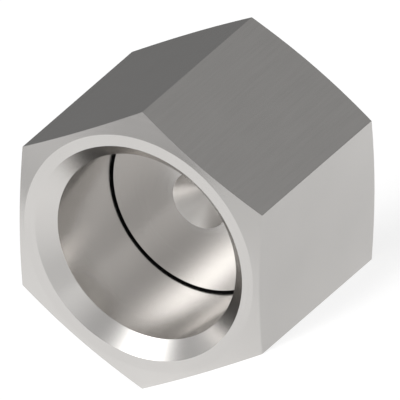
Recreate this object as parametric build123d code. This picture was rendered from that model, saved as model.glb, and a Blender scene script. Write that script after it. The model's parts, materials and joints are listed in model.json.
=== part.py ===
from build123d import *
import math
import os

# A hexagonal screw cap that protects the end of a male thread.
# It is turned from hexagon bar and lies on one of its flats. Its axis runs along Y, its mouth faces -Y,
# and the origin is on the resting flat, midway along the cap and below its axis.
# Lengths are in millimetres and angles in degrees.

# Thread: the bore is the core of a metric internal thread
thread_diameter = 18.0
thread_pitch = 1.5
pitches_from_thread_to_core = 1.0825

# Hexagon: the wall is measured from the thread's nominal diameter to the flats
wall_at_flats = 2.0
end_face_inset = 0.5
hexagon_chamfer_angle = 15.0

# Mouth
mouth_widening = 0.5
mouth_chamfer_angle = 45.0

# Bore floor, the drilled point in its middle, and the closed end behind it
bore_depth = 9.8
closed_end_thickness = 8.8
drill_point_diameter = 5.0
drill_point_angle = 90.0

# Sealing ring in its groove at the foot of the bore wall
ring_showing = 0.21
ring_under_wall = 0.25
ring_height = 0.7
ring_below_floor = 0.01

# How far the turning profile reaches past the hexagon's corners
turning_overrun = 1.0

# Sizes that follow from the driving ones
bore_radius = (thread_diameter - pitches_from_thread_to_core * thread_pitch) / 2
across_flats = thread_diameter + 2 * wall_at_flats
corner_radius = across_flats / 2 / math.cos(math.radians(30))
end_face_radius = across_flats / 2 - end_face_inset
body_length = bore_depth + closed_end_thickness

mouth_radius = thread_diameter / 2 + mouth_widening
mouth_chamfer_depth = (mouth_radius - bore_radius) / math.tan(math.radians(mouth_chamfer_angle))

drill_point_radius = drill_point_diameter / 2
drill_point_depth = drill_point_radius / math.tan(math.radians(drill_point_angle / 2))

ring_inner_radius = bore_radius - ring_showing
ring_outer_radius = bore_radius + ring_under_wall
groove_floor = bore_depth + ring_below_floor + ring_height

# Places: the centre of the mouth, and the two planes there that the sketches are drawn on.
# In the profile plane, x is the distance from the axis and y the distance in from the mouth.
mouth_centre = (0, -body_length / 2, across_flats / 2)
bar_end_plane = Plane(origin=mouth_centre, x_dir=(1, 0, 0), z_dir=(0, 1, 0))
profile_plane = Plane(origin=mouth_centre, x_dir=(1, 0, 0), z_dir=(0, 0, 1))
cap_axis = Axis(mouth_centre, (0, 1, 0))


def turned(outline):
    """The solid that a closed outline in the profile plane sweeps round the cap's axis."""
    with BuildPart() as solid:
        with BuildSketch(profile_plane):
            with BuildLine():
                Polyline(*outline, close=True)
            make_face()
        revolve(axis=cap_axis)
    return solid.part


def hexagon_bar():
    """The bar, with two flats level and its corners out along X."""
    with BuildPart() as bar:
        with BuildSketch(bar_end_plane):
            RegularPolygon(radius=across_flats / 2, side_count=6, major_radius=False)
        extrude(amount=body_length)
    return bar.part


def chamfered_ends():
    """The envelope left by turning both ends: round end faces, then shallow cones out past the corners."""
    rim_radius = corner_radius + turning_overrun
    rim_drop = (rim_radius - end_face_radius) * math.tan(math.radians(hexagon_chamfer_angle))
    return turned([
        (0, 0),
        (end_face_radius, 0),
        (rim_radius, rim_drop),
        (rim_radius, body_length - rim_drop),
        (end_face_radius, body_length),
        (0, body_length),
    ])


def bore():
    """The mouth's chamfer, the core of the thread, the flat floor and the cone of the drill's point."""
    return turned([
        (0, 0),
        (mouth_radius, 0),
        (bore_radius, mouth_chamfer_depth),
        (bore_radius, bore_depth),
        (drill_point_radius, bore_depth),
        (0, bore_depth + drill_point_depth),
    ])


def ring_groove():
    """The groove cut down into the floor at its edge, and out under the foot of the wall."""
    return turned([
        (ring_inner_radius, bore_depth),
        (ring_outer_radius, bore_depth),
        (ring_outer_radius, groove_floor),
        (ring_inner_radius, groove_floor),
    ])


def cap_body():
    """The cap itself, one turned piece."""
    return (hexagon_bar() & chamfered_ends()) - bore() - ring_groove()


def sealing_ring():
    """The ring that fills the groove and shows as a thin circle at the edge of the floor."""
    ring_top = groove_floor - ring_height
    return turned([
        (ring_inner_radius, ring_top),
        (ring_outer_radius, ring_top),
        (ring_outer_radius, groove_floor),
        (ring_inner_radius, groove_floor),
    ])


nodes = {
    "cap_body": cap_body(),
    "sealing_ring": sealing_ring(),
}

os.makedirs("parts", exist_ok=True)
for name, solid in nodes.items():
    export_step(solid, f"parts/{name}.step")
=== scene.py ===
import json
import math

import bmesh
import bpy
from mathutils import Matrix, Vector


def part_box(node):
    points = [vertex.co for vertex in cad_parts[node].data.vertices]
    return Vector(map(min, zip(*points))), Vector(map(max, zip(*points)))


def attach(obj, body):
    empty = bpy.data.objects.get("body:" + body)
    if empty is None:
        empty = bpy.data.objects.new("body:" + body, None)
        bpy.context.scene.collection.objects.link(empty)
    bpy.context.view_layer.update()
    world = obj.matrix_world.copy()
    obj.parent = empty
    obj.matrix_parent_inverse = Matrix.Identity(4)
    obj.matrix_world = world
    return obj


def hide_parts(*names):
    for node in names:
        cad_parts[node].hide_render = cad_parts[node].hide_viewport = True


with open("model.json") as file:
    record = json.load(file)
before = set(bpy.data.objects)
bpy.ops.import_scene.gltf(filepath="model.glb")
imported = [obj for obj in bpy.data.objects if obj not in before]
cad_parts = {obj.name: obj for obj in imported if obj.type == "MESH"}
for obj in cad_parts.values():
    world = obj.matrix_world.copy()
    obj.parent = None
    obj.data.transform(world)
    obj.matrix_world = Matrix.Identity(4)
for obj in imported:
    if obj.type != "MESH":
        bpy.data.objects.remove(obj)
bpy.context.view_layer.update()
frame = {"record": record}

# A hexagonal screw cap of bright steel with a thin black sealing ring at the foot of its bore.
# It lies on one flat, its axis along Y and its mouth towards -Y. Lengths are in metres, angles in radians
# unless a comment says otherwise.
MM = 0.001

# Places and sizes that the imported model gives
body_low, body_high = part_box("cap_body")
ring_low, ring_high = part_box("sealing_ring")
thread = next(m for m in frame["record"]["mounts"] if m["name"] == "thread")
axis_height = (body_low.z + body_high.z) / 2
flat_distance = (body_high.z - body_low.z) / 2
corner_radius = flat_distance / math.cos(math.radians(30))
mouth_y = body_low.y
cap_length = body_high.y - body_low.y
bore_radius = thread["dims"]["r_mm"] * MM
groove_radius = (ring_high.x - ring_low.x) / 2
groove_floor = ring_high.y - mouth_y
floor_depth = ring_low.y - mouth_y

# Sizes of the turned details
end_inset = 0.5 * MM
end_radius = flat_distance - end_inset
end_chamfer = math.radians(15)
turning_overrun = 1 * MM
mouth_radius = 9.5 * MM
ring_showing = 0.21 * MM
ring_inner_radius = bore_radius - ring_showing
point_radius = 2.5 * MM
point_half_angle = math.radians(45)
point_depth = point_radius / math.tan(point_half_angle)
# Close to the cone's tip, this share of its size away, one more corner keeps the shading even
point_tip = 0.02

# How the meshes are made: steps round the lathe, what counts as one place, how near to the bore's wall or
# floor the middle of a face lies if it is part of it, and which edges stay sharp
steps_round = 288
merge_distance = 1e-7
cut_tolerance = 1e-9
face_tolerance = 0.05 * MM
sharp_edge = math.radians(8)

# The cap's material slots after the first one, which is turned steel
drawn_painted_shade_slot = 1
drilled_slot = 2
bore_wall_painted_light_slot = 3
bore_floor_painted_shade_slot = 4

# Noise lies mostly between these two values, so a swing is spread over them
noise_low = 0.25
noise_high = 0.75

# Steel: its colour, how rough each finish is, and the fine marks that the tools leave
steel_colour = (0.62, 0.604, 0.587)
turned_roughness = 0.22
drawn_roughness = 0.22
drilled_roughness = 0.4
mark_spacing = 0.2 * MM
mark_height = 0.0006 * MM
mark_roughness = 0.025
drawn_stretch = 0.04
# These scale the steel's colour as painted shade and painted light: a shade darker on the flats, lighter on
# the bore wall and darker on the bore floor.
flats_painted_shade = 0.93
bore_wall_painted_light = 1.18
bore_floor_painted_shade = 0.86
steel_drift = 0.015
drift_spacing = 5 * MM

# Rubber
rubber_colour = (0.002, 0.002, 0.002)
rubber_roughness = 0.8
rubber_roughness_swing = 0.05
rubber_shine = 0.05
rubber_drift = 0.2
rubber_grain = 0.08 * MM
rubber_grain_height = 0.002 * MM

# Floor: its own glow, and the paint that takes the shadow
floor_glow = 0.81
floor_paint = 0.35
floor_paint_swing = 0.02
floor_grain = 2 * MM
floor_radius = 3.0
floor_sides = 64

# Painted reflection: in the steel alone the floor's glow is painted a little greyer to the right of a line
# that runs out from the mouth, as a grey card beside the camera would make it, though no card is there. It
# sets the edges of the mouth off from each other. Below: how far the line is turned from the cap's axis,
# where across it the fade starts and ends, and how much greyer it gets.
painted_reflection_line = math.radians(-18)
painted_reflection_start = -3 * MM
painted_reflection_end = 19 * MM
painted_reflection_drop = 0.27

# The studio's dome, and its soft lamps: azimuth, elevation and half width in degrees, and strength. Azimuth 0
# is straight out of the mouth and 90 is the cap's right.
sky = 0.105
lamps = {
    "high in front": (-6, 58, 14, 3.9),
    "in front": (-5, 32, 17, 1.6),
    "low in front, right": (41, 1, 27, 0.92),
    "front left": (-57, 26, 19, 1.27),
    "behind, right": (146, 19, 15, 0.37),
    "behind, left": (-114, 11, 26, 0.23),
}

# Between these two heights, as sines of the elevation, the dome turns as white as the floor
white_from = -0.01
all_white = -0.03

# View: how far round from the mouth it looks, how far down, and how far it is turned about the cap's axis
view_round = math.radians(30)
view_down = math.radians(30)
view_turn = math.radians(30)

# Picture: its width, the depth of the point on the cap's axis that it is set out from, and where that point
# falls in it, as shares of the width to the right and down
picture_width = 31.7998 * MM
aim_depth = 0.59 * MM
mouth_right = 142.29 / 400
mouth_down = 250.46 / 400
camera_distance = 0.4


def turned_profile():
    """Half the section, as (radius, distance in from the mouth), from the drill's point round to the back."""
    rim_radius = corner_radius + turning_overrun
    rim_drop = (rim_radius - end_radius) * math.tan(end_chamfer)
    return [
        (0, floor_depth + point_depth),
        (point_radius * point_tip, floor_depth + point_depth * (1 - point_tip)),
        (point_radius, floor_depth),
        (ring_inner_radius, floor_depth),
        (ring_inner_radius, groove_floor),
        (groove_radius, groove_floor),
        (groove_radius, floor_depth),
        (bore_radius, floor_depth),
        (bore_radius, mouth_radius - bore_radius),
        (mouth_radius, 0),
        (end_radius, 0),
        (rim_radius, rim_drop),
        (rim_radius, cap_length - rim_drop),
        (end_radius, cap_length),
        (0, cap_length),
    ]


def turn_on_lathe(bm, profile):
    """Spins a profile once round the cap's axis and closes the seam and the poles."""
    corners = [bm.verts.new((r, mouth_y + y, axis_height)) for r, y in profile]
    line = [bm.edges.new(pair) for pair in zip(corners, corners[1:])]
    bmesh.ops.spin(bm, geom=corners + line, cent=(0, 0, axis_height), axis=(0, 1, 0),
                   angle=2 * math.pi, steps=steps_round, use_merge=True)
    bmesh.ops.remove_doubles(bm, verts=bm.verts, dist=merge_distance)
    bmesh.ops.recalc_face_normals(bm, faces=bm.faces)


def mark_bore_faces(bm):
    """Gives the cone of the drill's point its own finish, and the bore's flat floor and its wall their own
    steel, painted darker on the floor and lighter on the wall.
    """
    for face in bm.faces:
        middle = face.calc_center_median() - Vector((0, mouth_y, axis_height))
        radius = math.hypot(middle.x, middle.z)
        if radius < point_radius and floor_depth < middle.y < floor_depth + point_depth:
            face.material_index = drilled_slot
        elif radius < ring_inner_radius and abs(middle.y - floor_depth) < face_tolerance:
            face.material_index = bore_floor_painted_shade_slot
        elif abs(radius - bore_radius) < face_tolerance and middle.y < floor_depth:
            face.material_index = bore_wall_painted_light_slot


def mill_flats(bm):
    """Cuts the six flats, the first one level on top, and closes each cut with one flat face. Then it welds
    the points that fall together where two cuts meet."""
    for side in range(6):
        turn = math.radians(90 + 60 * side)
        outward = Vector((math.cos(turn), 0, math.sin(turn)))
        on_flat = Vector((0, 0, axis_height)) + outward * flat_distance
        cut = bmesh.ops.bisect_plane(bm, geom=bm.verts[:] + bm.edges[:] + bm.faces[:], dist=cut_tolerance,
                                     plane_co=on_flat, plane_no=outward, clear_outer=True)
        rim = [e for e in cut["geom_cut"] if isinstance(e, bmesh.types.BMEdge)]
        bmesh.ops.edgeloop_fill(bm, edges=rim, mat_nr=drawn_painted_shade_slot)
    bmesh.ops.remove_doubles(bm, verts=bm.verts, dist=merge_distance)


def finished_piece(name, bm, materials):
    """Makes the bmesh an object with sharp machined edges and smooth turned surfaces."""
    mesh = bpy.data.meshes.new(name)
    bm.to_mesh(mesh)
    bm.free()
    mesh.shade_smooth()
    mesh.set_sharp_from_angle(angle=sharp_edge)
    for material in materials:
        mesh.materials.append(material)
    piece = bpy.data.objects.new(name, mesh)
    bpy.context.scene.collection.objects.link(piece)
    return piece


def feed(tree, source, socket):
    """Sets a socket to a plain number or colour, or links another node's output to it."""
    if isinstance(source, bpy.types.NodeSocket):
        tree.links.new(source, socket)
    else:
        socket.default_value = source


def maths(tree, operation, *terms):
    """The result of one sum on numbers and other nodes' outputs."""
    sum_node = tree.nodes.new("ShaderNodeMath")
    sum_node.operation = operation
    for term, socket in zip(terms, sum_node.inputs):
        feed(tree, term, socket)
    return sum_node.outputs[0]


def ramp(tree, value, start, end, low, high):
    """Carries a value from start and end over to low and high."""
    step = tree.nodes.new("ShaderNodeMapRange")
    for name, source in (("Value", value), ("From Min", start), ("From Max", end), ("To Min", low),
                         ("To Max", high)):
        feed(tree, source, step.inputs[name])
    return step.outputs["Result"]


def noise(tree, place, spacing, detail):
    """Uneven values from 0 to 1, whose features are about as far apart as spacing."""
    cloud = tree.nodes.new("ShaderNodeTexNoise")
    cloud.inputs["Scale"].default_value = 1 / spacing
    cloud.inputs["Detail"].default_value = detail
    tree.links.new(place, cloud.inputs["Vector"])
    return cloud.outputs["Fac"]


def place_on_cap(tree, stretch=(1, 1, 1)):
    """Coordinates measured from the cap's axis, pulled long where a stretch is under 1."""
    mapping = tree.nodes.new("ShaderNodeMapping")
    mapping.inputs["Scale"].default_value = stretch
    mapping.inputs["Location"].default_value = (0, 0, -axis_height * stretch[2])
    tree.links.new(tree.nodes.new("ShaderNodeTexCoord").outputs["Object"], mapping.inputs["Vector"])
    return mapping.outputs[0]


def place_on_lathe(tree):
    """Coordinates that are the same all the way round the axis: the radius, and the distance along it."""
    axes = tree.nodes.new("ShaderNodeSeparateXYZ")
    tree.links.new(place_on_cap(tree), axes.inputs[0])
    across = maths(tree, "MULTIPLY", axes.outputs["X"], axes.outputs["X"])
    radius = maths(tree, "SQRT", maths(tree, "MULTIPLY_ADD", axes.outputs["Z"], axes.outputs["Z"], across))
    place = tree.nodes.new("ShaderNodeCombineXYZ")
    feed(tree, radius, place.inputs["X"])
    feed(tree, axes.outputs["Y"], place.inputs["Y"])
    return place.outputs[0]


def new_material(name):
    """A new material, with its node tree and its shader."""
    material = bpy.data.materials.new(name)
    material.use_nodes = True
    return material, material.node_tree, material.node_tree.nodes["Principled BSDF"]


def roughen(tree, shader, marks, roughness, swing, height):
    """Lets the marks raise the surface a little and make it more or less rough."""
    uneven = ramp(tree, marks, noise_low, noise_high, roughness - swing, roughness + swing)
    feed(tree, uneven, shader.inputs["Roughness"])
    bump = tree.nodes.new("ShaderNodeBump")
    bump.inputs["Distance"].default_value = height
    tree.links.new(marks, bump.inputs["Height"])
    tree.links.new(bump.outputs[0], shader.inputs["Normal"])


def tinted(tree, shader, colour, swing):
    """Lets the colour drift a little lighter and darker over a few millimetres."""
    drift = tree.nodes.new("ShaderNodeVectorMath")
    drift.operation = "SCALE"
    drift.inputs[0].default_value = colour
    clouds = noise(tree, place_on_cap(tree), drift_spacing, 1)
    feed(tree, ramp(tree, clouds, noise_low, noise_high, 1 - swing, 1 + swing), drift.inputs["Scale"])
    tree.links.new(drift.outputs[0], shader.inputs["Base Color"])


def steel(name, roughness, turned=True, tone=1.0):
    """Bright stainless steel, with rings left by turning or lines along the cap left by drawing. A tone below
    1 is painted shade, and a tone above 1 is painted light.
    """
    material, tree, shader = new_material(name)
    shader.inputs["Metallic"].default_value = 1.0
    tinted(tree, shader, [part * tone for part in steel_colour], steel_drift)
    place = place_on_lathe(tree) if turned else place_on_cap(tree, (1, drawn_stretch, 1))
    roughen(tree, shader, noise(tree, place, mark_spacing, 2), roughness, mark_roughness, mark_height)
    return material


def rubber(name):
    """Matt black rubber with a fine grain."""
    material, tree, shader = new_material(name)
    shader.inputs["Specular IOR Level"].default_value = rubber_shine
    tinted(tree, shader, rubber_colour, rubber_drift)
    grain = noise(tree, place_on_cap(tree), rubber_grain, 2)
    roughen(tree, shader, grain, rubber_roughness, rubber_roughness_swing, rubber_grain_height)
    return material


def cap():
    """The body: turned all round, with six drawn flats painted a shade darker, a bore wall painted lighter,
    and a bore floor painted darker with the cone of the drill's point in its middle."""
    bm = bmesh.new()
    turn_on_lathe(bm, turned_profile())
    mark_bore_faces(bm)
    mill_flats(bm)
    piece = finished_piece("hex_cap", bm, [
        steel("turned_steel", turned_roughness),
        steel("drawn_steel_painted_shade", drawn_roughness, turned=False, tone=flats_painted_shade),
        steel("drilled_steel", drilled_roughness),
        steel("bored_steel_painted_light", turned_roughness, tone=bore_wall_painted_light),
        steel("faced_steel_painted_shade", turned_roughness, tone=bore_floor_painted_shade),
    ])
    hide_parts("cap_body")
    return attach(piece, "root")


def seal():
    """The ring in its groove, with its top just below the bore's floor."""
    bm = bmesh.new()
    turn_on_lathe(bm, [
        (ring_inner_radius, floor_depth),
        (groove_radius, floor_depth),
        (groove_radius, groove_floor),
        (ring_inner_radius, groove_floor),
        (ring_inner_radius, floor_depth),
    ])
    piece = finished_piece("black_ring", bm, [rubber("seal_rubber")])
    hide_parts("sealing_ring")
    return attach(piece, "root")


def glow_that_is_seen(tree, place):
    """The floor's glow, for the camera and for what is seen in or through the cap. It lights nothing else. In
    the steel it is a painted reflection, greyer to the right of a line that runs out from the mouth.
    """
    from_mouth = tree.nodes.new("ShaderNodeVectorMath")
    from_mouth.operation = "SUBTRACT"
    from_mouth.inputs[1].default_value = (0, mouth_y, 0)
    tree.links.new(place, from_mouth.inputs[0])
    right_of_line = tree.nodes.new("ShaderNodeVectorMath")
    right_of_line.operation = "DOT_PRODUCT"
    right_of_line.inputs[1].default_value = (math.cos(painted_reflection_line), math.sin(painted_reflection_line), 0)
    tree.links.new(from_mouth.outputs[0], right_of_line.inputs[0])
    distance = right_of_line.outputs["Value"]
    # Painted reflection: greyer to the right of the line, only in what the steel shows
    painted_reflection_level = ramp(tree, distance, painted_reflection_start, painted_reflection_end, floor_glow, floor_glow - painted_reflection_drop)
    seen = tree.nodes.new("ShaderNodeLightPath").outputs
    in_or_through = maths(tree, "ADD", seen["Is Glossy Ray"], seen["Is Transmission Ray"])
    painted_reflection_glow = maths(tree, "MULTIPLY", in_or_through, painted_reflection_level)
    return maths(tree, "MULTIPLY_ADD", seen["Is Camera Ray"], floor_glow, painted_reflection_glow)


def pale_floor():
    """A white floor: its glow is seen but lights nothing, and its paint keeps the cap's soft shadow."""
    material, tree, shader = new_material("pale_floor")
    tree.nodes.remove(shader)
    place = tree.nodes.new("ShaderNodeTexCoord").outputs["Object"]
    glow = tree.nodes.new("ShaderNodeEmission")
    feed(tree, glow_that_is_seen(tree, place), glow.inputs["Strength"])
    paint = tree.nodes.new("ShaderNodeBsdfDiffuse")
    darkest, palest = floor_paint * (1 - floor_paint_swing), floor_paint * (1 + floor_paint_swing)
    feed(tree, ramp(tree, noise(tree, place, floor_grain, 2), 0, 1, darkest, palest), paint.inputs["Color"])
    both = tree.nodes.new("ShaderNodeAddShader")
    tree.links.new(paint.outputs[0], both.inputs[0])
    tree.links.new(glow.outputs[0], both.inputs[1])
    tree.links.new(both.outputs[0], tree.nodes["Material Output"].inputs["Surface"])
    return material


def floor():
    """A wide round floor at the height that the cap lies on."""
    bm = bmesh.new()
    bmesh.ops.create_circle(bm, cap_ends=True, radius=floor_radius, segments=floor_sides)
    piece = finished_piece("studio_floor", bm, [pale_floor()])
    return piece


def direction(azimuth, elevation):
    """The direction of a lamp from the cap, from its azimuth and elevation in degrees."""
    round_about, above = math.radians(azimuth), math.radians(elevation)
    level = math.cos(above)
    return Vector((math.sin(round_about) * level, -math.cos(round_about) * level, math.sin(above)))


def soft_lamp(tree, place, azimuth, elevation, half_width, strength):
    """The light of one round soft lamp, half as bright at half_width degrees from its middle."""
    narrow = math.log(2) / (1 - math.cos(math.radians(half_width)))
    facing = tree.nodes.new("ShaderNodeVectorMath")
    facing.operation = "DOT_PRODUCT"
    facing.inputs[1].default_value = direction(azimuth, elevation)
    tree.links.new(place, facing.inputs[0])
    falling = maths(tree, "MULTIPLY_ADD", facing.outputs["Value"], narrow, -narrow)
    return maths(tree, "MULTIPLY", maths(tree, "EXPONENT", falling), strength)


def studio():
    """A plain weak dome with the soft lamps in it. Just below the horizon it turns as white as the floor."""
    world = bpy.data.worlds.new("studio")
    bpy.context.scene.world = world
    world.use_nodes = True
    tree = world.node_tree
    place = tree.nodes.new("ShaderNodeTexCoord").outputs["Generated"]
    axes = tree.nodes.new("ShaderNodeSeparateXYZ")
    tree.links.new(place, axes.inputs[0])
    light = sky
    for lamp in lamps.values():
        light = maths(tree, "ADD", light, soft_lamp(tree, place, *lamp))
    mix = tree.nodes.new("ShaderNodeMix")
    feed(tree, ramp(tree, axes.outputs["Z"], all_white, white_from, 1, 0), mix.inputs["Factor"])
    feed(tree, light, mix.inputs["A"])
    feed(tree, 1.0, mix.inputs["B"])
    background = tree.nodes["Background"]
    background.inputs["Color"].default_value = (1, 1, 1, 1)
    feed(tree, mix.outputs["Result"], background.inputs["Strength"])


def camera():
    """A parallel view, down into the mouth from one side. The photograph has a corner of the hexagon upright.
    The cap lies on a flat instead, so the whole view is turned with it about its axis."""
    data = bpy.data.cameras.new("view")
    data.type = "ORTHO"
    data.ortho_scale = picture_width
    data.clip_start, data.clip_end = camera_distance / 100, camera_distance * 100
    view = bpy.data.objects.new("view", data)
    bpy.context.scene.collection.objects.link(view)
    look = Matrix.Rotation(view_turn, 4, "Y") @ Matrix.Rotation(view_round, 4, "Z")
    look = look @ Matrix.Rotation(math.radians(90) - view_down, 4, "X")
    right, up, back = (look.to_3x3() @ Vector(axis) for axis in ((1, 0, 0), (0, 1, 0), (0, 0, 1)))
    middle = Vector((0, mouth_y + aim_depth, axis_height))
    middle += right * picture_width * (0.5 - mouth_right) - up * picture_width * (0.5 - mouth_down)
    view.matrix_world = Matrix.Translation(middle + back * camera_distance) @ look
    bpy.context.scene.camera = view


cap()
seal()
floor()
studio()
camera()
bpy.context.scene.view_settings.view_transform = "Standard"
